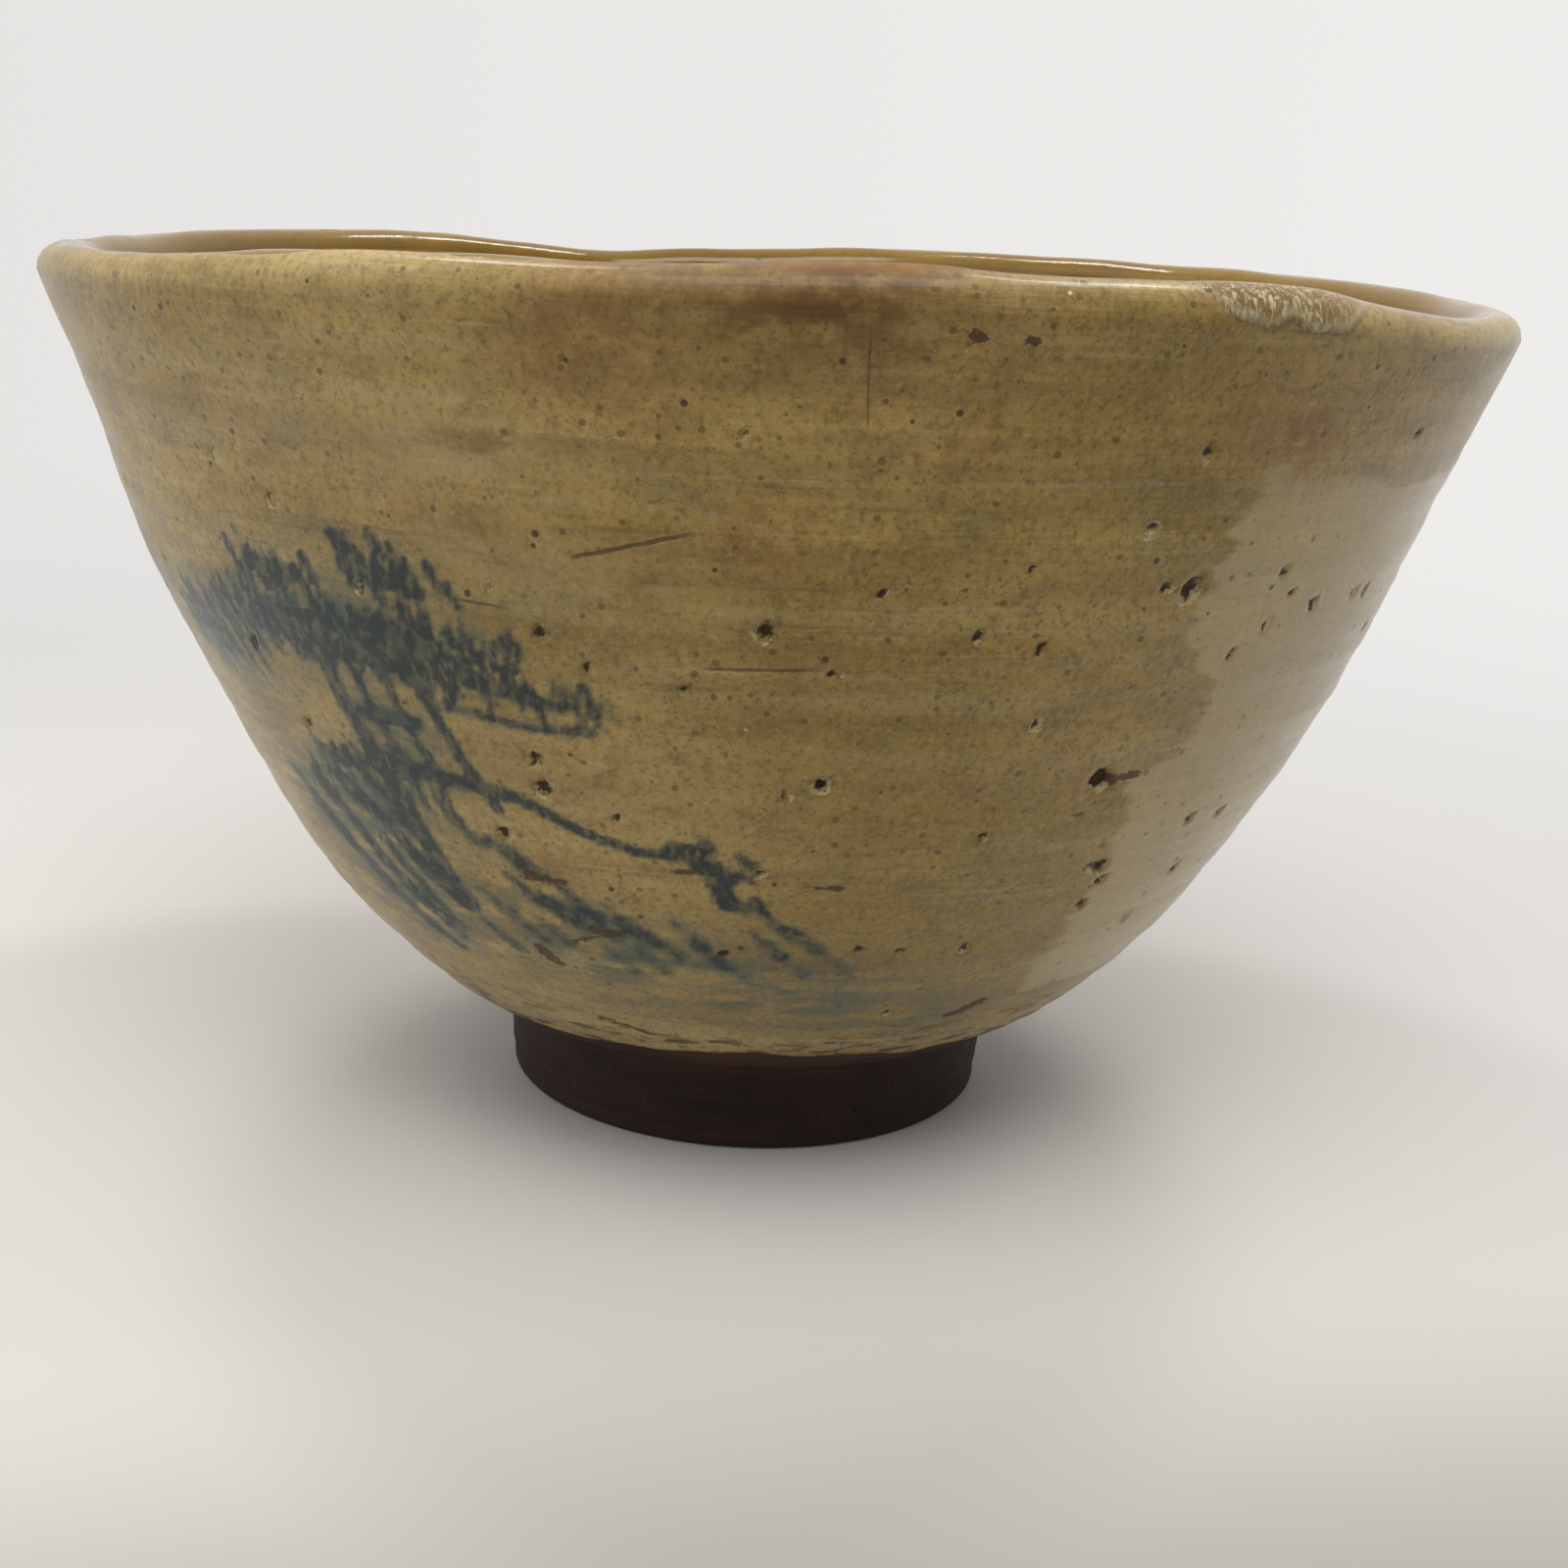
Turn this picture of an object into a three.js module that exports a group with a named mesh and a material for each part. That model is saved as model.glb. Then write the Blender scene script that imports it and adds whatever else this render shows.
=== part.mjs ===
// A wheel-thrown matcha bowl (chawan): a stoneware bowl on a luted-on foot ring, with two fired coats.
//
//   clay_body    the thrown stoneware: floor, wall and everted lip
//   foot_ring    the unglazed ring of the same clay that the bowl stands on
//   outer_glaze  brushed white slip under clear glaze, from just above the foot to just under the lip
//   inner_glaze  ash glaze, from the middle of the floor, up the inside and over the lip
//
// Millimetres, +Z up. The origin is the centre of the foot ring's resting face, -Y is the front and +X is
// along the widest diameter. Every piece is a LatheGeometry whose round rim is then pulled a little out of
// true, as a hand-thrown rim is. The coats follow the clay's own path, a hair's breadth off it.

import * as THREE from "three";

// Driving dimensions.
const rimRadius = 68.5; // outside of the glazed lip
const rimHeight = 82; // mean height of the glazed lip's crest
const footRadius = 24.2; // outside of the foot where it stands
const footTopRadius = 24.9;
const footHeight = 9.6;
const footBoreRadius = 17.8;
const footChamfer = 0.7;
const recessCrown = 1.6; // how far the floor's underside bulges down inside the ring
const floorHeight = 15.4; // clay floor at its middle
const lipThickness = 3.2; // clay only
const coatThickness = 0.6;
const bondGap = 0.15; // between two pieces that are fired together
const crossAxisShare = 0.985; // the rim is this much narrower along Y than along X
const warpStart = 34; // height above which the wall follows the rim's lifts

// How finely the surfaces are divided.
const roundSegments = 60;
const outsideSteps = 18;
const lipSteps = 6;
const insideSteps = 14;

// How far the crest stands above its mean height: [azimuth in degrees from the front towards +X, lift].
const rimLifts = [
  [-175, -0.5], [-160, -1.6], [-143, -0.4], [-118, -0.4], [-90, -1.1], [-48, -0.6], [-25, 1.1],
  [-8, 1.4], [10, 2.2], [22, 1.9], [31, 1.9], [38, 1.3], [46, 0.2], [58, -0.6], [92, -0.4],
  [125, 0.4], [158, 0.4],
];

// The clay lip is half a circle in section, round this centre.
const lipRound = lipThickness / 2;
const lipInset = coatThickness + lipRound;
const lipCentre = new THREE.Vector2(rimRadius - lipInset, rimHeight - lipInset);

// The clay's outside, from its joint with the foot to the start of the lip: radius, height.
const outsideCurve = new THREE.SplineCurve([
  new THREE.Vector2(footTopRadius, footHeight),
  new THREE.Vector2(30.4, 11.4),
  new THREE.Vector2(41.4, 22.0),
  new THREE.Vector2(49.6, 35.5),
  new THREE.Vector2(57.8, 52.2),
  new THREE.Vector2(63, 66.5),
  new THREE.Vector2(lipCentre.x + lipRound, lipCentre.y),
]);

// The clay's inside, from the end of the lip down to the middle of the floor.
const insideCurve = new THREE.SplineCurve([
  new THREE.Vector2(lipCentre.x - lipRound, lipCentre.y),
  new THREE.Vector2(59.2, 66.8),
  new THREE.Vector2(53.4, 52.8),
  new THREE.Vector2(45.0, 36.6),
  new THREE.Vector2(35.6, 25.0),
  new THREE.Vector2(20.0, 17.2),
  new THREE.Vector2(0, floorHeight),
]);

// A smooth curve through the rim's lifts, whose last point is the first one a full turn on.
const [firstAzimuth, firstLift] = rimLifts[0];
const liftPoints = [...rimLifts, [firstAzimuth + 360, firstLift]];
const liftCurve = new THREE.CatmullRomCurve3(
  liftPoints.map(([azimuth, lift]) => new THREE.Vector3(azimuth, lift, 0)),
  false,
  "centripetal",
);
const liftTable = liftCurve.getPoints(360);

// The crest's lift at an azimuth in degrees.
function liftAt(azimuth) {
  const wrapped = azimuth <= firstAzimuth ? azimuth + 360 : azimuth;
  const next = liftTable.findIndex((point) => point.x >= wrapped);
  const low = liftTable[next - 1];
  const high = liftTable[next];
  return THREE.MathUtils.mapLinear(wrapped, low.x, high.x, low.y, high.y);
}

// Pulls a finished lathe out of true: the wall rises and falls with the rim, and is a little oval at the top.
function warp(geometry) {
  const position = geometry.getAttribute("position");
  for (let i = 0; i < position.count; i++) {
    const [x, y, z] = [position.getX(i), position.getY(i), position.getZ(i)];
    const share = THREE.MathUtils.smoothstep(z, warpStart, rimHeight);
    const azimuth = THREE.MathUtils.radToDeg(Math.atan2(x, -y));
    position.setZ(i, z + liftAt(azimuth) * share);
    position.setY(i, y * THREE.MathUtils.lerp(1, crossAxisShare, share));
  }
  geometry.computeVertexNormals();
  return geometry;
}

// Turns a profile of radius and height about Z into a named piece. Azimuth 0 is the front.
function piece(name, profile, material) {
  const turned = new THREE.LatheGeometry(profile, roundSegments).rotateX(Math.PI / 2);
  const mesh = new THREE.Mesh(warp(turned), material);
  mesh.name = name;
  return mesh;
}

// The points between the two ends of half a turn over the lip, from its outside to its inside.
function lipArc() {
  return Array.from({ length: lipSteps - 1 }, (_, i) => {
    const angle = (Math.PI * (i + 1)) / lipSteps;
    return new THREE.Vector2(Math.cos(angle), Math.sin(angle)).multiplyScalar(lipRound).add(lipCentre);
  });
}

// A path moved sideways by distance, away from the clay. Its last point stays on the axis.
function offset(path, distance) {
  const moved = path.map((point, i) => {
    const before = path[Math.max(i - 1, 0)];
    const after = path[Math.min(i + 1, path.length - 1)];
    const along = after.clone().sub(before).normalize();
    return new THREE.Vector2(point.x + along.y * distance, point.y - along.x * distance);
  });
  moved[moved.length - 1].setX(0);
  return moved;
}

// The clay's surface in one path: up the outside, over the lip and down the inside to the axis.
const clayPath = [
  ...outsideCurve.getSpacedPoints(outsideSteps),
  ...lipArc(),
  ...insideCurve.getSpacedPoints(insideSteps),
];
const bondPath = offset(clayPath, bondGap);
const coatPath = offset(clayPath, coatThickness);

// The outer coat runs from the first step above the foot to the lip, and the inner coat from there on.
const glazeLine = 1;
const partingLine = outsideSteps;

const stoneware = new THREE.MeshStandardMaterial({ color: 0x3a2219, roughness: 0.85, metalness: 0 });
const slipGlaze = new THREE.MeshStandardMaterial({ color: 0x9d865a, roughness: 0.3, metalness: 0 });
const ashGlaze = new THREE.MeshStandardMaterial({ color: 0x8a733c, roughness: 0.15, metalness: 0 });

function clayBody() {
  const underside = [
    new THREE.Vector2(0, footHeight - recessCrown),
    new THREE.Vector2(footBoreRadius * 0.6, footHeight - recessCrown * 0.75),
    new THREE.Vector2(footBoreRadius, footHeight),
  ];
  return piece("clay_body", [...underside, ...clayPath], stoneware);
}

function footRing() {
  const top = footHeight - bondGap;
  const profile = [
    new THREE.Vector2(footBoreRadius, top),
    new THREE.Vector2(footBoreRadius + footChamfer, footChamfer),
    new THREE.Vector2(footBoreRadius + 2 * footChamfer, 0),
    new THREE.Vector2(footRadius - footChamfer, 0),
    new THREE.Vector2(footRadius, footChamfer),
    new THREE.Vector2(footTopRadius, top),
    new THREE.Vector2(footBoreRadius, top),
  ];
  return piece("foot_ring", profile, stoneware);
}

// A coat over the clay's outside, closed on itself, which stops a gap short of the parting line.
function outerGlaze() {
  const [outer, inner] = [coatPath, bondPath].map((path) => {
    const points = path.slice(glazeLine, partingLine + 1).map((point) => point.clone());
    const [before, last] = points.slice(-2);
    last.lerp(before, bondGap / last.distanceTo(before));
    return points;
  });
  return piece("outer_glaze", [...outer, ...inner.reverse(), outer[0].clone()], slipGlaze);
}

// A coat over the lip and the clay's inside, which starts and ends on the axis.
function innerGlaze() {
  const outer = coatPath.slice(partingLine);
  const inner = bondPath.slice(partingLine).reverse();
  return piece("inner_glaze", [...inner, ...outer], ashGlaze);
}

const bowl = new THREE.Group();
bowl.add(clayBody());
bowl.add(footRing());
bowl.add(outerGlaze());
bowl.add(innerGlaze());

export default bowl;
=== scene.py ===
"""A matcha bowl's looks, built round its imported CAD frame.

Shapes are worked out in millimetres as radius and height, swept round +Z, and turned into metres only when
a mesh is made. Azimuth is in degrees from the front (-Y) towards +X.
"""

import math

import bpy
import numpy as np
from mathutils import Euler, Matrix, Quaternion, Vector


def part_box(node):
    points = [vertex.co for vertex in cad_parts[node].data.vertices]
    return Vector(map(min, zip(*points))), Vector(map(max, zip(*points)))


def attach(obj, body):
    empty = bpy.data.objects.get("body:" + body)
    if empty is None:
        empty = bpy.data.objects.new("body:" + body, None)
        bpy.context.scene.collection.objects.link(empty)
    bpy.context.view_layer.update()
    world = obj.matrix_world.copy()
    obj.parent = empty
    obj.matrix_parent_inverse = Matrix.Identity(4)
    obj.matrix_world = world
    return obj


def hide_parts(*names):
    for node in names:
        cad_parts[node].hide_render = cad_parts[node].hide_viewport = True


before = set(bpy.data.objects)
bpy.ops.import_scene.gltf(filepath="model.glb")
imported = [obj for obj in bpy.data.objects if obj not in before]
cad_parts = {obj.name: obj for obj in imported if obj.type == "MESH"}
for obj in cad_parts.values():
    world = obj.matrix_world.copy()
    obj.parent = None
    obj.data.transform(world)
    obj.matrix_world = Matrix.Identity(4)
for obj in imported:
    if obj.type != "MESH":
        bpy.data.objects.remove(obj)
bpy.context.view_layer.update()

MM = 0.001
COLUMNS = 640  # divisions round the bowl
rng = np.random.default_rng(7)

# ---------------- the bowl's sizes, in millimetres

foot_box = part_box("foot_ring")
rim_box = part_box("inner_glaze")
foot_top_radius = foot_box[1].x / MM
foot_height = foot_box[1].z / MM
rim_radius = rim_box[1].x / MM
rim_height = 82.0  # mean height of the lip's crest
foot_radius = foot_top_radius - 0.7
foot_bore_radius = 17.8
lip_thickness = 3.2
coat_thickness = 0.6
coat_roll = 1.3  # how far from its lower edge the outside coat reaches its full thickness
coat_gap = 0.03  # between the clay and the back of a coat
glaze_line_height = 13.2
lap_start = 2.3  # how far over the lip, from its outside, the inside coat's edge lies
run_drop = 2.6  # how much lower the edge hangs where the glaze ran
floor_height = 15.4
recess_crown = 1.6
warp_start = 34.0
cross_axis_share = 0.985

# How far the crest stands above its mean height at an azimuth.
RIM_LIFTS = [
    (-180, -0.3), (-171, -0.9), (-160, -1.6), (-150, -1.1), (-141, -0.25), (-118, -0.45), (-93, -1.2),
    (-65, -0.9), (-48, -0.6), (-33, 0.5), (-25, 1.1), (-10, 1.3), (0, 1.8), (9, 2.2), (15, 1.9), (23, 1.9),
    (30, 1.9), (36, 1.5), (41, 0.8), (46, 0.2), (55, -0.6), (75, -0.6), (92, -0.4), (113, 0.3), (150, 0.5),
    (168, 0.35), (180, -0.3),
]

lip_round = lip_thickness / 2
lip_inset = coat_thickness + lip_round
lip_centre = np.array([rim_radius - lip_inset, rim_height - lip_inset])

CLAY_OUTSIDE = [
    (foot_top_radius, foot_height), (30.4, 11.4), (41.4, 22.0), (49.6, 35.5), (57.8, 52.2), (63.0, 66.5),
    (lip_centre[0] + lip_round, lip_centre[1]),
]
CLAY_INSIDE = [
    (lip_centre[0] - lip_round, lip_centre[1]), (59.2, 66.8), (53.4, 52.8), (45.0, 36.6), (35.6, 25.0),
    (20.0, 17.2), (0.0, floor_height),
]


# ---------------- curves and fields


def smoothstep(value, low, high):
    share = np.clip((value - low) / (high - low), 0, 1)
    return share * share * (3 - 2 * share)


def spline(points, steps=40):
    """A smooth curve through the points: a uniform Catmull-Rom spline."""
    points = np.array(points, float)
    padded = np.vstack([points[:1], points, points[-1:]])
    t = np.linspace(0, 1, steps, endpoint=False)[:, None]
    spans = []
    for a, b, c, d in zip(padded, padded[1:], padded[2:], padded[3:]):
        slope_in, slope_out = (c - a) / 2, (d - b) / 2
        cubic = 2 * (b - c) + slope_in + slope_out
        square = 3 * (c - b) - 2 * slope_in - slope_out
        spans.append(b + slope_in * t + square * t**2 + cubic * t**3)
    return np.vstack([*spans, points[-1:]])


class Path:
    """A profile of radius and height, read by the distance along it. Its normal is to its right."""

    def __init__(self, points):
        self.points = np.array(points, float)
        steps = np.hypot(*np.diff(self.points, axis=0).T)
        self.stations = np.concatenate([[0], np.cumsum(steps)])
        self.length = self.stations[-1]
        along = np.gradient(self.points, axis=0)
        along /= np.hypot(*along.T)[:, None]
        self.normals = np.stack([along[:, 1], -along[:, 0]], axis=1)

    def at(self, station):
        radius, height = (np.interp(station, self.stations, column) for column in self.points.T)
        out, up = (np.interp(station, self.stations, column) for column in self.normals.T)
        size = np.hypot(out, up)
        return radius, height, out / size, up / size

    def station_of_height(self, height):
        """Where a path that only rises reaches a height."""
        return np.interp(height, self.points[:, 1], self.stations)


def lip_arc(steps=24):
    angle = np.linspace(0, math.pi, steps + 1)[1:-1]
    return lip_centre + lip_round * np.stack([np.cos(angle), np.sin(angle)], axis=1)


def lift_at(azimuth):
    """The crest's lift: a smooth curve through RIM_LIFTS that closes on itself."""
    table = np.array(RIM_LIFTS, float)
    known, lifts = table.T
    before = np.concatenate([[known[-2] - 360], known, [known[1] + 360]])
    values = np.concatenate([[lifts[-2]], lifts, [lifts[1]]])
    slopes = (values[2:] - values[:-2]) / (before[2:] - before[:-2])
    index = np.clip(np.searchsorted(known, azimuth, side="right") - 1, 0, len(known) - 2)
    span = known[index + 1] - known[index]
    t = (azimuth - known[index]) / span
    rise = lifts[index + 1] - lifts[index]
    start, end = slopes[index] * span, slopes[index + 1] * span
    return lifts[index] + t * start + t**2 * (3 * rise - 2 * start - end) + t**3 * (start + end - 2 * rise)


def waves(azimuth, height, turns, lengths, count=24):
    """A smooth random field that closes round the bowl, about -1 to 1.

    turns is the most waves it makes in one turn, and lengths the shortest and longest wave up the wall."""
    total = np.zeros(np.broadcast(azimuth, height).shape)
    for _ in range(count):
        across = rng.integers(-turns, turns + 1)
        up = 2 * math.pi / rng.uniform(*lengths)
        total = total + np.cos(np.radians(azimuth) * across + height * up + rng.uniform(0, 2 * math.pi))
    return total / math.sqrt(count)


def place(radius, height, azimuth):
    """Points in millimetres. The wall rises and falls with the rim, and is a little oval at the top."""
    share = smoothstep(height, warp_start, rim_height)
    angle = np.radians(azimuth)
    narrow = 1 - (1 - cross_axis_share) * share
    x = radius * np.sin(angle)
    y = -radius * np.cos(angle) * narrow
    z = height + lift_at(azimuth) * share
    return np.stack([x, y, z], axis=-1)


def swept(path, station, azimuth, relief=0.0):
    """A grid of points on a path swept round the axis, raised by the relief along the surface's normal."""
    radius, height, out, up = path.at(station)
    return place(radius + out * relief, height + up * relief, azimuth)


azimuths = np.linspace(-180, 180, COLUMNS, endpoint=False)[None, :]
outside_curve = spline(CLAY_OUTSIDE)
clay = Path(np.vstack([outside_curve, lip_arc(), spline(CLAY_INSIDE)]))
clay_lip_start = clay.stations[len(outside_curve) - 1]
clay_lip_end = clay.stations[len(outside_curve) - 1 + len(lip_arc())]
wall = Path(outside_curve)


def wall_point(azimuth, height):
    """The point of the glazed wall at an azimuth and a height above the table, before the rim's lift."""
    return swept(wall, wall.station_of_height(height), azimuth, coat_thickness)


# ---------------- meshes


def new_piece(name, points, faces, material, replaces):
    """A smooth-shaded piece of the object, from points in millimetres."""
    mesh = bpy.data.meshes.new(name)
    mesh.from_pydata(points * MM, [], faces)
    mesh.polygons.foreach_set("use_smooth", np.ones(len(mesh.polygons), bool))
    mesh.materials.append(material)
    mesh.update()
    piece = bpy.data.objects.new(name, mesh)
    bpy.context.scene.collection.objects.link(piece)
    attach(piece, "root")
    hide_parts(replaces)
    return piece


def ring_faces(rings, loop):
    """Quads between neighbouring rings, and from the last ring back to the first where they make a loop."""
    starts = np.arange(rings)[:, None] * COLUMNS
    column = np.arange(COLUMNS)[None, :]
    following = (column + 1) % COLUMNS
    low = starts if loop else starts[:-1]
    high = np.roll(starts, -1, axis=0) if loop else starts[1:]
    corners = [low + column, low + following, high + following, high + column]
    return np.stack(corners, axis=-1).reshape(-1, 4).tolist()


def pole_faces(pole, ring, upward):
    """Triangles from one point on the axis to a ring."""
    column = np.arange(COLUMNS)
    following = (column + 1) % COLUMNS
    pair = (following, column) if upward else (column, following)
    return [(pole, ring * COLUMNS + int(a), ring * COLUMNS + int(b)) for a, b in zip(*pair)]


def closed_on_itself(grid):
    """Points and faces of rings that make a closed tube."""
    return grid.reshape(-1, 3), ring_faces(len(grid), loop=True)


def closed_on_axis(grid):
    """Points and faces of rings whose first and last are single points on the axis."""
    rings = grid[1:-1]
    poles = [grid[0].mean(axis=0), grid[-1].mean(axis=0)]
    points = np.vstack([rings.reshape(-1, 3), poles])
    faces = ring_faces(len(rings), loop=False)
    first, last = len(points) - 2, len(points) - 1
    faces += pole_faces(first, 0, upward=True)
    faces += pole_faces(last, len(rings) - 1, upward=False)
    return points, faces


def store(piece, name, values):
    """A value for each point of a piece, which its material reads by name."""
    attribute = piece.data.attributes.new(name, "FLOAT", "POINT")
    attribute.data.foreach_set("value", np.ascontiguousarray(values, np.float32).ravel())


# ---------------- painting on the wall


class Canvas:
    """The glazed wall laid flat, in millimetres: how far round and how far up each point of a grid lies."""

    def __init__(self, station, azimuth):
        self.radius, self.height, _, _ = wall.at(station)
        self.station = station
        self.azimuth = np.broadcast_to(azimuth, station.shape)

    def layer(self):
        return np.zeros(self.station.shape)

    def offset_from(self, azimuth, height):
        """How far round, and how far up the wall, each point is from a place."""
        turn = (self.azimuth - azimuth + 180) % 360 - 180
        return np.radians(turn) * self.radius, self.station - wall.station_of_height(height)

    def stroke(self, layer, line, widths, strength=1.0, soft=0.3):
        """One brush stroke along a line of (azimuth, height), which starts and ends at the two widths."""
        best = np.full(self.station.shape, np.inf)
        spans = len(line) - 1
        for index, (start, end) in enumerate(zip(line, line[1:])):
            across, up = self.offset_from(*start)
            radius = np.interp(start[1], wall.points[:, 1], wall.points[:, 0])
            reach = math.radians(end[0] - start[0]) * radius
            rise = wall.station_of_height(end[1]) - wall.station_of_height(start[1])
            share = np.clip((across * reach + up * rise) / (reach**2 + rise**2), 0, 1)
            width = np.interp((index + share) / spans, [0, 1], widths)
            best = np.minimum(best, np.hypot(across - share * reach, up - share * rise) - width / 2)
        cover = strength * (1 - smoothstep(best, -soft, soft))
        layer[:] = 1 - (1 - layer) * (1 - cover)

    def blobs(self, spots):
        """A layer of soft oval spots: azimuth, height, half the size across and up, and strength."""
        layer = self.layer()
        for azimuth, height, across, up, strength in spots:
            beside, above = self.offset_from(azimuth, height)
            cover = strength * np.exp(-((beside / across) ** 2) - (above / up) ** 2)
            layer = 1 - (1 - layer) * (1 - cover)
        return layer


NEEDLE_PITCH = 1.35  # degrees from one dab of needles to the next
NEEDLE_LEAN = 0.45  # how many degrees a dab leans to either side of its middle

# Tiers of needles: where each starts and ends (azimuth, height), how deep it is, and how dark.
PINE_TIERS = [
    ((-44.5, 59), (-35.5, 58.4), 2.2, 1),
    ((-43, 57.2), (-36.5, 57), 1.9, 1),
    ((-32, 60.6), (-26.5, 60.2), 2, 1),
    ((-31.5, 58.9), (-23.5, 58.6), 2.2, 1),
    ((-29.5, 57), (-22, 57), 2, 0.8),
    ((-50, 55.4), (-33, 56), 2.2, 0.85),
    ((-56, 53.6), (-25, 54.6), 2.2, 0.9),
    ((-59, 51.8), (-17.5, 54.2), 2.3, 1),
    ((-58, 50), (-43, 51), 2.3, 0.8),
    ((-40, 51.2), (-19, 52), 2.2, 0.95),
    ((-57, 48), (-46, 49), 2.2, 0.7),
    ((-29, 50.8), (-10.5, 50), 2.3, 0.8),
    ((-43, 41.8), (-28, 42.4), 2.4, 0.75),
    ((-45, 39.4), (-28, 39.6), 2.4, 0.7),
    ((-45, 36.8), (-33, 36.4), 2.4, 0.6),
]
BACK_TIERS = [
    ((84, 61), (104, 62.5), 3.6, 0.8),
    ((80, 58), (112, 59.5), 3.6, 0.9),
    ((84, 55), (120, 56), 3.6, 0.8),
    ((92, 52.5), (128, 53), 3.2, 0.7),
    ((166, 51.5), (184, 52), 3.2, 0.8),
    ((158, 49), (190, 49.5), 3.4, 0.9),
    ((162, 46), (186, 46.5), 3.2, 0.7),
    ((-104, 60), (-82, 58.5), 3.4, 0.7),
    ((-108, 57), (-78, 56), 3.6, 0.8),
    ((-112, 54), (-84, 53), 3.4, 0.7),
]

# Trunks and branches: the line, its first and last width, and how dark.
PINE_LIMBS = [
    ([(-37, 52), (-36.2, 47), (-34.5, 42), (-32, 34), (-29.8, 29.6)], (1.9, 2.2), 0.9),
    ([(-33.8, 51), (-32.6, 45.5), (-31, 41)], (1.1, 1), 0.85),
    ([(-30.6, 51), (-29.4, 45.5), (-28, 41.6)], (1.1, 0.9), 0.8),
    ([(-27.4, 52), (-26.4, 48), (-25, 44), (-22.5, 39.8)], (1.4, 1), 0.95),
    ([(-43, 54.6), (-34, 54), (-24, 53.4)], (1, 0.8), 0.85),
    ([(-38, 51.8), (-30, 51.4), (-21, 50.8), (-15, 49.6)], (1.2, 0.9), 0.95),
    ([(-42.6, 58.3), (-37, 57.7)], (1.4, 1.2), 0.95),
    ([(-30.5, 58.8), (-25.5, 57.6)], (1.5, 1.2), 0.9),
    ([(-25, 48.6), (-18, 47.7), (-12.5, 47.9)], (0.9, 0.9), 0.85),
    ([(-34.5, 46.6), (-28.5, 46.6)], (1.7, 1.4), 0.9),
    (
        [(-42, 41.4), (-33, 42.2), (-25, 41.8), (-20, 41.2), (-15, 39), (-10, 37.6), (-5, 37.4)],
        (1.8, 0.9), 0.9,
    ),
    ([(-42, 40), (-37, 36), (-33.6, 32), (-30.6, 29.8)], (1.6, 1.9), 0.85),
    ([(-37, 40.5), (-34, 36.5), (-31.4, 33)], (1.4, 1.3), 0.7),
    ([(-46, 38.6), (-42, 34), (-38, 29.5), (-34.5, 26.5)], (2, 1.4), 0.75),
    ([(-49, 35.4), (-43, 30), (-38, 25.8), (-34.7, 23.7)], (2, 1.4), 0.7),
    ([(-51, 38.6), (-47, 34.6), (-42, 29)], (1.6, 1.2), 0.7),
    ([(-38.5, 34), (-35.5, 30), (-32.4, 26.6)], (1.8, 1.3), 0.7),
    ([(-40.5, 31.5), (-35.5, 27.6), (-33, 25.2)], (1.8, 1.2), 0.55),
    ([(-6.4, 38.2), (-4.4, 37.9)], (1.7, 1.5), 0.95),
    ([(-3.9, 37.1), (-2, 35.6)], (2.3, 2.2), 1),
    ([(-2.6, 35.3), (-1.3, 33.1)], (1.8, 1.7), 1),
    ([(-1.9, 33.2), (0.2, 32.8)], (1.2, 1.1), 0.95),
    ([(0.9, 33.5), (1.8, 32.7)], (1.2, 1), 0.9),
    ([(-3.8, 39.1), (-2.9, 38.4)], (1.3, 1.1), 0.65),
    ([(-0.6, 37.7), (0.8, 37)], (1.4, 1.2), 0.65),
    ([(-0.7, 36.1), (0.5, 35.6)], (1.3, 1.1), 0.6),
    ([(97, 62), (98, 52), (95, 42), (100, 33)], (2.2, 1.4), 0.85),
    ([(98, 48), (108, 45), (118, 46)], (1.2, 0.9), 0.8),
    ([(174, 50), (176, 40), (172, 31)], (2.2, 1.2), 0.8),
    ([(-92, 58), (-94, 48), (-91, 38)], (2.2, 1.2), 0.75),
]

# Loose strokes of thin blue under the pine: where each starts, and how dark.
THIN_STROKES = [
    (-27, 37.5, 0.6), (-23, 35.8, 0.7), (-21.2, 35.2, 0.6), (-22, 32.5, 0.7), (-19, 31, 0.8),
    (-16.5, 32, 0.75), (-17.5, 30.6, 0.7), (-14.5, 30, 0.7), (-12.5, 31, 0.5), (-11, 29.4, 0.6),
    (-8, 28.4, 0.6), (-5.5, 29.8, 0.55), (-3.5, 27.6, 0.6), (3.5, 31, 0.6), (6, 29.8, 0.65),
    (2.5, 29, 0.6), (-26, 30.5, 0.6), (-23, 28.5, 0.6), (-27, 27, 0.6), (-13, 26.4, 0.5),
    (10, 27, 0.45), (-20, 28.6, 0.55), (-9.5, 26.6, 0.5), (5.2, 26.8, 0.5), (-1, 26.4, 0.4),
]

# Pale washes of blue: azimuth, height, size across and up, and how dark.
WASHES = [
    (-36, 54, 13, 5, 1), (-53, 51, 9, 6, 1), (-31, 46, 4, 4, 1), (-38, 37, 9, 7, 1),
    (-48, 36, 5, 7, 0.9), (-39, 28, 9, 6, 1), (-18, 31, 5, 3, 0.8), (-12, 26.5, 12, 4, 0.9),
    (4, 23, 14, 4, 0.95), (20, 19.5, 9, 3, 0.6), (-66, 56, 3, 4, 0.7), (97, 57, 16, 5, 0.6),
    (110, 30, 22, 4, 0.5), (176, 49, 12, 4, 0.6), (178, 27, 18, 4, 0.5), (-94, 57, 12, 5, 0.5),
]


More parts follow.
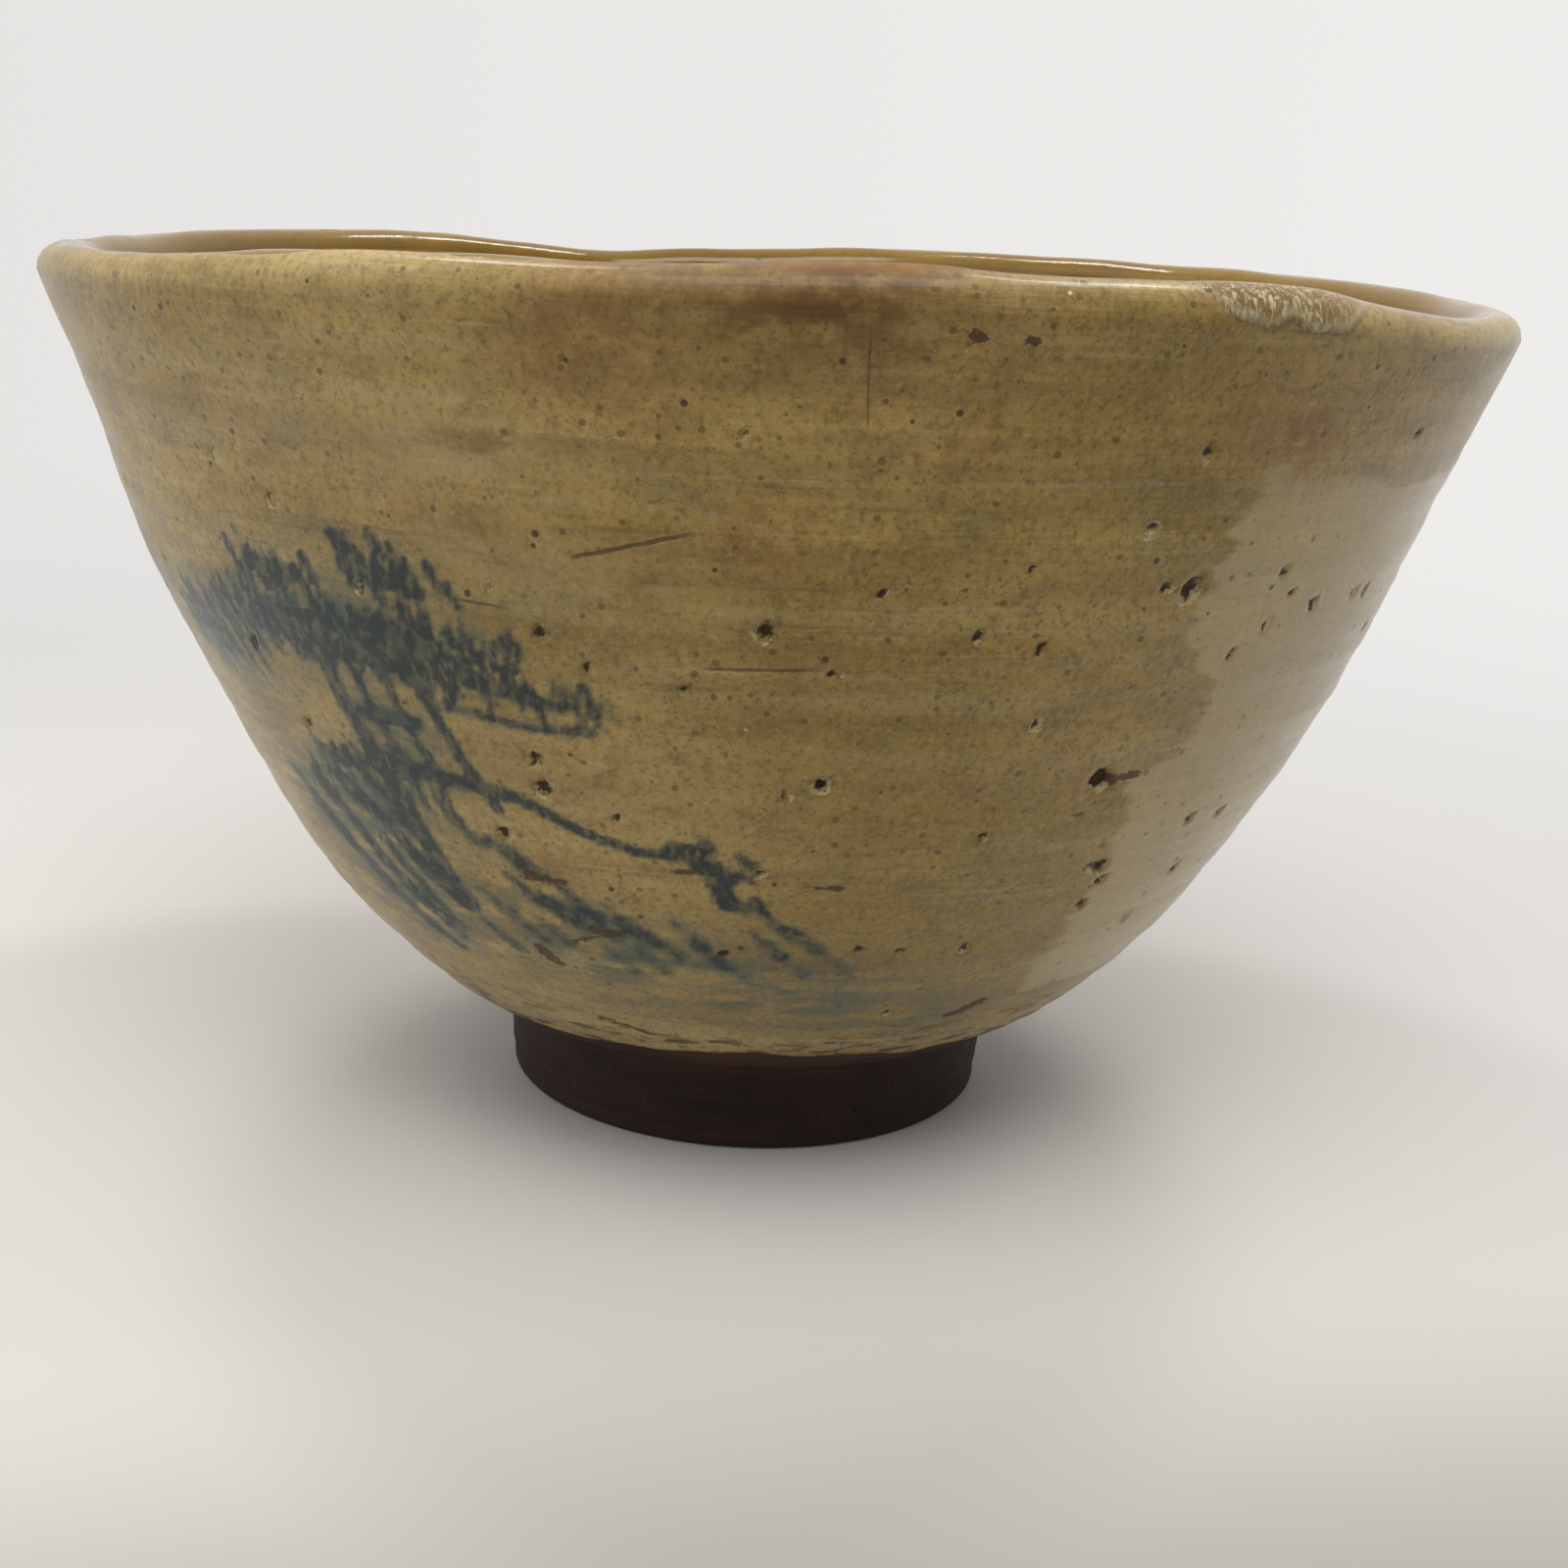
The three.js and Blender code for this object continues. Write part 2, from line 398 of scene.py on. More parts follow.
def needles(canvas, layer, start, end, depth, strength):
    """A tier of pine needles: short leaning dabs side by side over one broad pale stroke of a dry brush."""
    canvas.stroke(layer, [start, end], (depth * 0.7, depth * 0.5), 0.28 * strength, soft=1)
    count = round((end[0] - start[0]) / NEEDLE_PITCH)
    for share in np.linspace(0, 1, count):
        azimuth = start[0] + (end[0] - start[0]) * share + rng.normal(0, 0.25)
        height = start[1] + (end[1] - start[1]) * share + rng.normal(0, 0.35)
        length = depth * rng.uniform(0.7, 1.25)
        dark = strength * rng.choice([0, 0.5, 0.8, 1.0], p=[0.08, 0.17, 0.3, 0.45])
        line = [
            (azimuth - NEEDLE_LEAN, height + length / 2),
            (azimuth + NEEDLE_LEAN, height - length / 2),
        ]
        canvas.stroke(layer, line, (rng.uniform(0.75, 1.15), 0.7), dark, soft=0.35)


def paint_ink(canvas):
    """The blue painting: pines in quick dry strokes."""
    ink = canvas.layer()
    for start, end, depth, strength in PINE_TIERS + BACK_TIERS:
        needles(canvas, ink, start, end, depth, strength)
    for line, widths, strength in PINE_LIMBS:
        canvas.stroke(ink, line, widths, strength, soft=0.5)
    for azimuth, height, strength in THIN_STROKES:
        line = [(azimuth - 1.4, height + 1), (azimuth + 1.4, height - 1.2)]
        canvas.stroke(ink, line, (1.1, 1.7), strength, soft=0.6)
    return ink


# Warm iron stains in the slip: azimuth, height, size across and up, strength.
BLUSHES = [
    (-11, 77, 5, 5, 0.8), (-7, 72, 3, 5, 0.4), (0.5, 64, 3.5, 3, 0.7), (38, 72, 6, 4, 0.8),
    (12, 70, 9, 4, 0.3), (-19.5, 34.6, 3, 1.4, 0.9), (6, 26.5, 5, 2, 0.8), (-30, 66, 8, 3, 0.25),
    (-60, 70, 9, 4, 0.3), (70, 72, 7, 4, 0.5), (110, 74, 9, 4, 0.6), (150, 66, 7, 4, 0.6),
    (-130, 70, 8, 5, 0.6), (-160, 60, 5, 3, 0.5), (-100, 30, 8, 3, 0.5), (140, 30, 6, 3, 0.6),
    (60, 30, 5, 2, 0.4),
]

# The brown stain that hangs from the lip, in the same order.
RUNS = [(3, 80.5, 12, 5, 1), (-10, 80, 6, 1.6, 0.4)]

# Patches where the slip lies thick and pale: azimuth, height, size across and up, strength.
THICK_SLIP = [
    (-20, 68.5, 9, 4.5, 0.8), (-22, 60.5, 8, 3, 0.6), (-9, 59.5, 8, 3, 0.6), (-38, 69, 7, 3, 0.5),
    (-9, 41, 6, 3, 0.4), (95, 66, 10, 4, 0.5), (-140, 55, 12, 5, 0.5), (165, 40, 9, 4, 0.5),
]

# Marks where the slip has skipped and iron-brown clay shows: a line of (azimuth, height) and a width.
SKIPS = [
    ([(-21.5, 33.8), (-17.5, 33.6)], 0.9), ([(-15.5, 29.2), (-11.5, 29)], 0.7),
    ([(-18, 27.6), (-13, 28.8)], 0.5), ([(-22.5, 26), (-20.5, 24.6)], 1.2),
    ([(-6.5, 36), (-3.8, 36)], 0.7), ([(-19, 17.6), (-12, 16.4)], 0.8),
    ([(-10, 15.4), (-6, 15.6)], 1), ([(-4, 16.2), (0, 16.2)], 0.8), ([(12, 16.4), (17, 16.2)], 0.5),
    ([(22, 14.2), (27, 14.4)], 0.8), ([(28, 19), (32, 20.5)], 1.3), ([(31, 44), (35, 44.4)], 1.1),
    ([(12.1, 77.8), (12.5, 77.8)], 1.1), ([(15.4, 77.9), (15.8, 77.9)], 0.9),
    ([(-52, 20), (-49, 18.6)], 0.8), ([(5, 35), (9, 35)], 0.5), ([(70, 17), (78, 18)], 0.9),
    ([(120, 16), (131, 17.5)], 1), ([(-80, 18), (-72, 16)], 0.9), ([(-150, 17), (-141, 15.5)], 1.1),
    ([(160, 20), (166, 19)], 0.8), ([(-120, 24), (-116, 23.5)], 1),
]

# Scratches: where each starts and ends (azimuth, height), and its width.
SCRATCHES = [
    ((-13, 61.5), (-3.5, 64), 0.34),
    ((-3.8, 53.8), (5.5, 54), 0.22),
    ((6.3, 71), (5.8, 79), 0.08),
    ((-22, 57.5), (-17, 57.2), 0.2),
]

# Pinholes that burst in the glaze: azimuth, height, radius.
PITS = [
    (-15.6, 55.5, 0.56), (0.7, 56.8, 0.74), (15.8, 56.8, 0.56), (30, 60.3, 0.53), (32.4, 60, 0.92),
    (27.2, 64.8, 0.45), (29.9, 70.3, 0.53), (-17.9, 45, 0.65), (-17.5, 42.4, 0.71), (-22.6, 37.6, 0.59),
    (5.8, 44.4, 0.65), (3, 43.4, 0.4), (31, 44.2, 0.98), (36.1, 35.5, 0.74), (37.2, 34, 0.56),
    (36.3, 31.4, 0.56), (41.6, 61.5, 0.45), (47.7, 58.5, 0.5), (42.2, 57, 0.5), (44, 59.6, 0.35),
    (54.8, 59, 0.45), (57.5, 58.8, 0.4), (39.5, 54.6, 0.45), (46, 39, 0.5), (50, 33, 0.45),
    (24, 28, 0.5), (12, 28.5, 0.45), (-5, 52, 0.35), (100, 40, 0.74), (146, 58, 0.86),
    (-128, 50, 0.8), (-100, 44, 0.68), (-165, 37, 0.92), (178, 66, 0.68),
    (75, 48, 0.62),
]
SMALL_PITS = 60  # more, scattered at random


def small_pit():
    return rng.uniform(-180, 180), rng.uniform(16, 76), rng.uniform(0.3, 0.5)


def carve_pits(canvas, places):
    """How deep the pinholes go, with their raised edges, and where they are dark."""
    depth, dark = canvas.layer(), canvas.layer()
    for azimuth, height, radius in places:
        across, up = canvas.offset_from(azimuth, height)
        away = np.hypot(across, up * 0.85) / radius
        depth += radius * (0.14 * np.exp(-(((away - 1.45) / 0.45) ** 2)) - 0.75 * np.exp(-(away**4)))
        dark = np.maximum(dark, np.exp(-((away / 0.95) ** 4)))
    return np.maximum(depth, -coat_thickness), dark


# The pale area at the front: a painted reflection of the floor, given as glaze that lies thick and clear.
# Its near side as (height, azimuth), and its limits.
PALE_EDGE = [(40, 36.5), (44, 34.5), (46, 38.5), (52, 39.5), (55.7, 32.7), (60, 34.5), (64, 34.6), (69, 36)]
PALE_LOW, PALE_TOP, PALE_END = 20.0, 69.0, 96.0
# The pale area at the back is pale glaze only, with no painted light in it.
BACK_PALE = (-150, -112, 38, 62)  # another, at the back: azimuths, heights
FAR_SIDE = (75, 85)  # azimuths over which the pale area's edge begins to wander
PALE_REACH = 8.0  # distances from the edge are kept up to this far


def inside(canvas, start, end, low, high):
    """Millimetres inside four sides: two azimuths and two heights. Negative outside them."""
    scale = np.radians(1) * canvas.radius
    round_bowl = np.minimum((canvas.azimuth - start) * scale, (end - canvas.azimuth) * scale)
    return np.minimum(round_bowl, np.minimum(high - canvas.height, canvas.height - low))


def pale_area(canvas):
    """Millimetres inside the pale areas' edges: the painted reflection at the front and the pale glaze at
    the back. Negative outside them.
    """
    heights, edges = np.array(PALE_EDGE).T
    near_side = np.interp(canvas.height, heights, edges)
    wander = 3.0 * waves(canvas.azimuth, canvas.station, 14, (9, 40))
    front = inside(canvas, near_side, PALE_END, PALE_LOW, PALE_TOP)
    front = front + wander * smoothstep(canvas.azimuth, *FAR_SIDE)
    back = inside(canvas, *BACK_PALE) + wander
    return np.clip(np.maximum(front, back), -PALE_REACH, PALE_REACH)


# ---------------- materials


def tone(code):
    """A colour written as in a paint programme, such as 9d865a, as the linear values that shaders use."""
    parts = [int(code[i : i + 2], 16) / 255 for i in (0, 2, 4)]
    linear = [p / 12.92 if p <= 0.04045 else ((p + 0.055) / 1.055) ** 2.4 for p in parts]
    return (*linear, 1.0)


class Nodes:
    """A node tree in the making. Each method adds what it says and gives the output."""

    def __init__(self, tree):
        self.tree = tree

    def add(self, kind, inputs=None, output=0, **settings):
        node = self.tree.nodes.new(kind)
        for name, value in settings.items():
            setattr(node, name, value)
        for name, value in (inputs or {}).items():
            self.put(node.inputs[name], value)
        return node.outputs[output]

    def put(self, socket, value):
        if isinstance(value, bpy.types.NodeSocket):
            self.tree.links.new(value, socket)
        else:
            socket.default_value = value

    def calc(self, operation, a, b=0.0, clamp=False):
        return self.add("ShaderNodeMath", {0: a, 1: b}, operation=operation, use_clamp=clamp)

    def times(self, a, b):
        return self.calc("MULTIPLY", a, b)

    def total(self, *parts):
        """The sum of pairs of a value and what it is multiplied by."""
        result = 0.0
        for value, factor in parts:
            result = self.calc("ADD", self.times(value, factor), result)
        return result

    def part(self, vector, axis):
        return self.add("ShaderNodeSeparateXYZ", {0: vector}, output=axis)

    def dot(self, vector, direction):
        inputs = {0: vector, 1: direction}
        return self.add("ShaderNodeVectorMath", inputs, output="Value", operation="DOT_PRODUCT")

    def step(self, value, low, high, start=0.0, end=1.0):
        """Goes smoothly from start to end as the value goes from low to high."""
        inputs = {"Value": value, "From Min": low, "From Max": high, "To Min": start, "To Max": end}
        return self.add("ShaderNodeMapRange", inputs, output="Result", interpolation_type="SMOOTHSTEP")

    def mix(self, share, a, b):
        return self.add("ShaderNodeMix", {"Factor": share, 6: a, 7: b}, output=2, data_type="RGBA")

    def tint(self, colour, share, code, amount=1.0):
        """The colour with another over it, by its share times the amount."""
        return self.mix(self.times(share, amount), colour, tone(code))

    def over(self, colour, field, low, high, code, amount):
        """The colour with up to this amount of another, as the field goes from low to high."""
        return self.tint(colour, self.step(field, low, high, 0.0, amount), code)


class Paint(Nodes):
    """A material in the making. Lengths are millimetres."""

    def __init__(self, name):
        self.material = bpy.data.materials.new(name)
        self.material.use_nodes = True
        super().__init__(self.material.node_tree)
        self.shader = self.tree.nodes["Principled BSDF"]
        coordinates = self.add("ShaderNodeTexCoord", output="Object")
        self.place = self.add("ShaderNodeVectorMath", {0: coordinates, 3: 1 / MM}, operation="SCALE")

    def set(self, **inputs):
        """Sets the shader's own sockets, such as Base_Color for Base Color."""
        for name, value in inputs.items():
            self.put(self.shader.inputs[name.replace("_", " ")], value)

    def stretched(self, across, up, seed=0.0):
        """The place divided by how long a feature is across and up."""
        inputs = {0: self.place, 1: (1 / across, 1 / across, 1 / up), 2: (seed, seed, seed)}
        return self.add("ShaderNodeVectorMath", inputs, operation="MULTIPLY_ADD")

    def noise(self, across, up=None, detail=3.0, roughness=0.5, distortion=0.0, seed=0.0):
        """A random field round 0.5 whose features are this long across and up."""
        inputs = {
            "Vector": self.stretched(across, up or across, seed),
            "Scale": 1.0,
            "Detail": detail,
            "Roughness": roughness,
            "Distortion": distortion,
        }
        return self.add("ShaderNodeTexNoise", inputs, output="Fac")

    def specks(self, spacing, low, high, seed=0.0, up=None):
        """Round spots, at most one in each cell, each of its own radius from low to high: 1 inside them."""
        node = self.tree.nodes.new("ShaderNodeTexVoronoi")
        self.put(node.inputs["Vector"], self.stretched(spacing, up or spacing, seed))
        self.put(node.inputs["Scale"], 1.0)
        random = self.add("ShaderNodeSeparateColor", {0: node.outputs["Color"]})
        size = self.step(random, 0.0, 1.0, low, high)
        edge = self.calc("SUBTRACT", size, node.outputs["Distance"])
        return self.step(edge, 0.0, 0.04)

    def stored(self, name):
        return self.add("ShaderNodeAttribute", output="Fac", attribute_name=name)

    def ragged(self, name, noise, amount):
        """A stored value, more or less by a share of a noise."""
        uneven = self.times(self.calc("SUBTRACT", noise, 0.5), amount)
        return self.calc("ADD", self.stored(name), uneven)

    def patchy(self, name, noise, low, high):
        """A stored value where a noise is high, and nothing where it is low."""
        return self.times(self.stored(name), self.step(noise, low, high))

    def bump(self, height, strength):
        """Puts a height in millimetres on the surface."""
        inputs = {"Strength": strength, "Distance": MM, "Height": height}
        self.set(Normal=self.add("ShaderNodeBump", inputs, output="Normal"))

    def mark(self, start, end, width, rough=0.25):
        """A thin scratched line between two places on the wall (azimuth, height): 1 on it, 0 off it."""
        middle = math.radians((start[0] + end[0]) / 2)
        outward = (math.sin(middle), -math.cos(middle), 0)
        sideways = (math.cos(middle), math.sin(middle), 0)
        ends = [wall_point(*spot) for spot in (start, end)]
        a, b = (np.array([point @ sideways, point[2]]) for point in ends)
        length = float(np.linalg.norm(b - a))
        right, up = (float(v) for v in (b - a) / length)
        across = self.dot(self.place, sideways)
        height = self.part(self.place, "Z")
        wander = self.times(self.calc("SUBTRACT", self.noise(1.2, detail=2, seed=9.0), 0.5), rough)
        beside = self.total((across, -up), (height, right), (wander, 1.0))
        beside = self.calc("ABSOLUTE", self.calc("SUBTRACT", beside, float(a[1] * right - a[0] * up)))
        along = self.total((across, right), (height, up))
        along = self.calc("SUBTRACT", along, float(a[0] * right + a[1] * up))
        inside = self.times(self.step(along, 0.0, 1.0), self.step(along, length, length - 2.5))
        line = self.step(beside, width / 2 + 0.08, width / 2 - 0.08)
        facing = self.calc("GREATER_THAN", self.dot(self.place, outward), 0.0)
        return self.times(self.times(line, inside), facing)


def clouded_slip(paint):
    """The slip's ground: yellow-grey, clouded, and warmer or greener in patches."""
    drift = paint.step(paint.noise(26, detail=3, seed=3), 0.35, 0.68)
    colour = paint.mix(drift, tone("ad9253"), tone("947a3b"))
    clouds = paint.noise(4.5, 3.0, detail=5, roughness=0.6, seed=11)
    colour = paint.over(colour, clouds, 0.45, 0.72, "7a6336", 0.55)
    rusty = paint.noise(7, 4.5, detail=5, roughness=0.65, seed=13)
    colour = paint.over(colour, rusty, 0.5, 0.72, "8a6640", 0.26)
    greenish = paint.noise(8, 5, detail=4, roughness=0.6, seed=19)
    colour = paint.over(colour, greenish, 0.52, 0.75, "7d7a56", 0.4)
    return colour, clouds


def brush_hairs(paint, colour, height):
    """Soft level bands, and fine streaks that are strongest round the middle of the wall."""
    bands = paint.noise(70, 2.4, detail=3, roughness=0.5, seed=17)
    colour = paint.over(colour, bands, 0.48, 0.68, "735f36", 0.3)
    colour = paint.over(colour, bands, 0.46, 0.3, "b8a472", 0.3)
    streaks = paint.noise(22, 0.9, detail=5, roughness=0.65, distortion=0.2, seed=21)
    middle = paint.total((paint.step(height, 44, 56), 0.35), (paint.step(height, 74, 66), 0.35))
    middle = paint.calc("SUBTRACT", middle, 0.2, clamp=True)
    thin = paint.times(paint.step(streaks, 0.52, 0.72), middle)
    colour = paint.tint(colour, thin, "65532e")
    thick = paint.noise(26, 0.8, detail=4, roughness=0.6, seed=33)
    return paint.over(colour, thick, 0.56, 0.75, "bdaa7e", 0.35)


def grain(paint, colour):
    """Short upright flecks and fine mottling."""
    flecks = paint.noise(0.75, 1.1, detail=3, roughness=0.6, seed=41)
    colour = paint.over(colour, flecks, 0.5, 0.72, "5f4d29", 0.4)
    colour = paint.over(colour, flecks, 0.42, 0.25, "bcab82", 0.3)
    mottle = paint.noise(0.55, detail=4, roughness=0.8, seed=47)
    colour = paint.over(colour, mottle, 0.5, 0.64, "625028", 0.55)
    return paint.over(colour, mottle, 0.44, 0.3, "baa97f", 0.45)


def stains_and_painted_reflection(paint, colour):
    """The pale area (a painted reflection at the front, pale glaze at the back), thick slip, rusty blushes,
    and the brown stain that hangs from the lip.
    """
    pale = paint.step(paint.ragged("pale", paint.noise(9, 1.6, detail=4, seed=51), 7.0), -0.7, 0.9)
    # Painted reflection: at the front the pale area's lighter colour stands in for the floor reflected in
    # the glaze.
    colour = paint.tint(colour, pale, "bfae84", 0.48)
    thick = paint.patchy("slip", paint.noise(6, 2.0, detail=4, seed=53), 0.35, 0.6)
    colour = paint.tint(colour, thick, "c0a878", 0.5)
    uneven = paint.noise(3.2, 2.0, detail=4, roughness=0.6, seed=59)
    run = paint.times(paint.stored("run"), paint.step(uneven, 0.32, 0.6, 0.4, 1.0))
    blush = paint.patchy("blush", paint.noise(1.8, detail=4, roughness=0.65, seed=57), 0.3, 0.62)
    colour = paint.tint(colour, blush, "7d532a", 0.75)
    return paint.tint(colour, run, "65421d", 0.95), pale


def painting(paint, colour):
    """Blue washes under dry dark strokes, which are torn by the bristles."""
    wash = paint.patchy("wash", paint.noise(5, 1.5, detail=4, seed=61), 0.3, 0.6)
    colour = paint.tint(colour, wash, "3b5048", 0.88)
    bristle = paint.noise(0.8, 1.1, detail=4, roughness=0.7, seed=67)
    ink = paint.step(paint.ragged("ink", bristle, 0.8), 0.02, 0.8)
    ink = paint.times(ink, paint.step(paint.stored("ink"), 0.02, 0.25))
    dry = paint.step(paint.noise(0.9, 2.0, detail=3, seed=69), 0.36, 0.54, 0.7, 1.0)
    ink = paint.times(ink, dry)
    blue = paint.mix(ink, tone("24504f"), tone("042126"))
    return paint.mix(paint.times(ink, 0.95), colour, blue)


def slip_specks(paint, colour):
    """Iron specks of three sizes, and white ones. The largest two kinds also show in the relief."""
    dark = paint.specks(2.7, -0.3, 0.13, seed=71)
    fine = paint.specks(1.4, -0.2, 0.24, seed=73)
    white = paint.specks(3.4, -0.4, 0.065, seed=79)
    tiny = paint.specks(0.8, -0.25, 0.24, seed=77, up=1.0)
    colour = paint.tint(colour, tiny, "57421f", 0.4)
    colour = paint.tint(colour, fine, "553e1e", 0.6)
    colour = paint.tint(colour, dark, "3d2917", 0.85)
    return paint.tint(colour, white, "e3d8ba", 0.7), dark, white


def bare_spots(paint, colour, height):
    """Clay that shows where the slip skipped, and in gaps low on the wall."""
    gaps = paint.step(paint.noise(4.0, 0.9, detail=5, roughness=0.7, seed=83), 0.53, 0.58)
    gaps = paint.times(gaps, paint.step(height, 21.0, 13.0))
    bare = paint.ragged("bare", paint.noise(1.0, 0.6, detail=4, roughness=0.7, seed=89), 1.6)
    bare = paint.times(paint.step(bare, 0.4, 0.6), paint.step(paint.stored("bare"), 0.05, 0.3))
    bare = paint.calc("MAXIMUM", bare, gaps)
    return paint.tint(colour, bare, "4a2f1a", 0.85), bare


def pinholes(paint, colour):
    """Dark ragged holes with pale crumbs of slip beside some of them, which also serve as a painted
    highlight on the pits' edges.
    """
    pit = paint.ragged("pit", paint.noise(0.5, detail=3, seed=93), 1.5)
    pit = paint.times(pit, paint.step(paint.stored("pit"), 0.02, 0.15))
    # Pale crumbs of slip, which also stand in for a painted highlight on the pits' edges.
    crumbs_and_glint = paint.step(paint.noise(1.6, detail=2, seed=95), 0.5, 0.62, 0.0, 0.6)
    crumbs_and_glint = paint.times(crumbs_and_glint, paint.step(pit, 0.03, 0.25))
    colour = paint.tint(colour, crumbs_and_glint, "cdbd92")
    return paint.over(colour, pit, 0.4, 0.7, "332211", 0.92), pit


def scratches(paint, colour):
    scratch = 0.0
    for start, end, width in SCRATCHES:
        scratch = paint.calc("MAXIMUM", scratch, paint.mark(start, end, width))
    return paint.tint(colour, scratch, "45331a", 0.75), scratch


def outer_glaze_material():
    """Brushed slip under a thin clear glaze, stained by iron and use, with the blue painting in it."""
    paint = Paint("brushed_slip")
    height = paint.part(paint.place, "Z")
    colour, clouds = clouded_slip(paint)
    colour = brush_hairs(paint, colour, height)
    colour = grain(paint, colour)
    colour, pale = stains_and_painted_reflection(paint, colour)
    colour = painting(paint, colour)
    colour, dark, white = slip_specks(paint, colour)
    colour, bare = bare_spots(paint, colour, height)
    colour, pit = pinholes(paint, colour)
    colour, scratch = scratches(paint, colour)

    ridges = paint.noise(40, 0.8, detail=4, roughness=0.6, seed=91)
    sandy = paint.noise(0.35, detail=3, roughness=0.6, seed=97)
    relief = paint.total(
        (ridges, 0.10), (sandy, 0.035), (clouds, 0.12), (dark, -0.06), (white, 0.02),
        (scratch, -0.12), (bare, -0.10), (pit, -0.35),
    )
    paint.bump(relief, 0.8)
    uneven = paint.noise(6, 2.0, detail=4, seed=101)
    matt = paint.total((uneven, 0.22), (bare, 0.3), (pale, -0.08), (pit, 0.3), (paint.stored("run"), 0.3))
    paint.set(Base_Color=colour, Roughness=paint.calc("ADD", matt, 0.24))
    paint.set(IOR=1.38, Coat_Weight=0.18, Coat_Roughness=0.12)
    return paint.material


def ash_ground(paint):
    """Runs, throwing rings, and the darker pool at the bottom."""
    drift = paint.step(paint.noise(18, detail=3, seed=5), 0.3, 0.7)
    colour = paint.mix(drift, tone("8a6a20"), tone("765815"))
    runs = paint.noise(1.6, 12, detail=4, roughness=0.6, seed=15)
    colour = paint.over(colour, runs, 0.45, 0.7, "6b5c28", 0.4)
    rings = paint.noise(40, 1.3, detail=4, roughness=0.55, seed=25)
    colour = paint.over(colour, rings, 0.52, 0.68, "9a8138", 0.3)
    pool = paint.times(paint.step(paint.part(paint.place, "Z"), 27, 16.5), 0.75)
    return paint.tint(colour, pool, "5f5d26"), rings


def lip_wear(paint, colour):
    """The lip: worn brown, and crusted with pale flakes where the glaze ran over it."""
    worn = paint.patchy("worn", paint.noise(2.2, 1.2, detail=4, seed=35), 0.25, 0.6)
    colour = paint.tint(colour, worn, "7a5126")
    crust = paint.stored("crust")
    flakes = paint.noise(0.4, 1.1, detail=6, roughness=0.75, distortion=0.6, seed=45)
    light = paint.times(crust, paint.step(flakes, 0.48, 0.6, 0.0, 0.85))
    colour = paint.tint(colour, light, "d8c9a0")
    hollow = paint.times(crust, paint.step(flakes, 0.44, 0.34, 0.0, 0.6))
    colour = paint.tint(colour, hollow, "7d6030")
    colour = paint.tint(colour, paint.stored("seam"), "c9b98c", 0.55)
    return colour, paint.times(crust, flakes)


def crazing(paint):
    """A net of hair cracks in the glaze."""
    inputs = {"Vector": paint.stretched(3.4, 3.4, 63), "Scale": 1.0, "Randomness": 1.0}
    settings = {"output": "Distance", "feature": "DISTANCE_TO_EDGE"}
    return paint.step(paint.add("ShaderNodeTexVoronoi", inputs, **settings), 0.022, 0.004)


def inner_glaze_material():
    """Yellow-green ash glaze: glossy, crackled, deeper where it pools and worn brown over the lip."""
    paint = Paint("ash_glaze")
    colour, rings = ash_ground(paint)
    colour, flaky = lip_wear(paint, colour)
    fine = paint.specks(1.6, -0.12, 0.13, seed=55)
    dark = paint.specks(3.4, -0.14, 0.12, seed=59)
    colour = paint.tint(colour, fine, "5a4720", 0.4)
    colour = paint.tint(colour, dark, "3b2814", 0.75)
    colour = paint.tint(colour, crazing(paint), "59441f", 0.3)

    uneven = paint.noise(2.4, detail=3, seed=65)
    paint.bump(paint.total((rings, 0.10), (uneven, 0.10), (dark, -0.05), (flaky, 0.5)), 0.7)
    worn = paint.stored("worn")
    clouds = paint.noise(5, detail=3, seed=75)
    matt = paint.total((clouds, 0.1), (paint.stored("crust"), 0.15), (worn, 0.35))
    gloss = paint.calc("SUBTRACT", 0.3, paint.times(worn, 0.35), clamp=True)
    paint.set(Base_Color=colour, Roughness=paint.calc("ADD", matt, 0.08))
    paint.set(IOR=1.36, Coat_Weight=gloss, Coat_Roughness=0.04)
    return paint.material


def bare_clay_material(name, warm_from, warm_to):
    """Iron-rich stoneware, fired black-brown: sandy, scored by turning, and warmer up by the glaze."""
    paint = Paint(name)
    drift = paint.step(paint.noise(7, 5, detail=4, roughness=0.6, seed=4), 0.3, 0.7)
    colour = paint.mix(drift, tone("2f1d16"), tone("22140f"))
    flash = paint.step(paint.noise(9, 3, detail=3, seed=14), 0.3, 0.65)
    flash = paint.times(paint.step(paint.part(paint.place, "Z"), warm_from, warm_to), flash)
    colour = paint.tint(colour, flash, "4a2a18", 0.6)
    scoring = paint.noise(45, 0.45, detail=4, roughness=0.6, seed=24)
    colour = paint.over(colour, scoring, 0.5, 0.7, "3d271c", 0.4)
    sand = paint.specks(0.9, -0.1, 0.2, seed=34)
    colour = paint.tint(colour, sand, "5c4030", 0.45)
    grit = paint.specks(2.3, -0.12, 0.12, seed=44)
    colour = paint.tint(colour, grit, "150d09", 0.8)
    rough = paint.noise(0.4, detail=5, roughness=0.7, seed=54)
    paint.bump(paint.total((scoring, 0.12), (rough, 0.10), (sand, 0.05), (grit, -0.08)), 0.9)
    matt = paint.total((paint.noise(3, detail=3, seed=64), 0.25))
    paint.set(Base_Color=colour, Roughness=paint.calc("ADD", matt, 0.55), IOR=1.35)
    return paint.material


# ---------------- the four pieces


def ring_relief(azimuth, station):
    """Throwing rings and the unevenness of a hand-thrown wall, in millimetres."""
    uneven = 0.22 * waves(azimuth, station, 4, (28, 70))
    rings = 0.085 * waves(azimuth, station, 1, (4.5, 9))
    brushed = 0.022 * waves(azimuth, station, 2, (1.5, 3.2), count=30)
    return uneven + rings + brushed


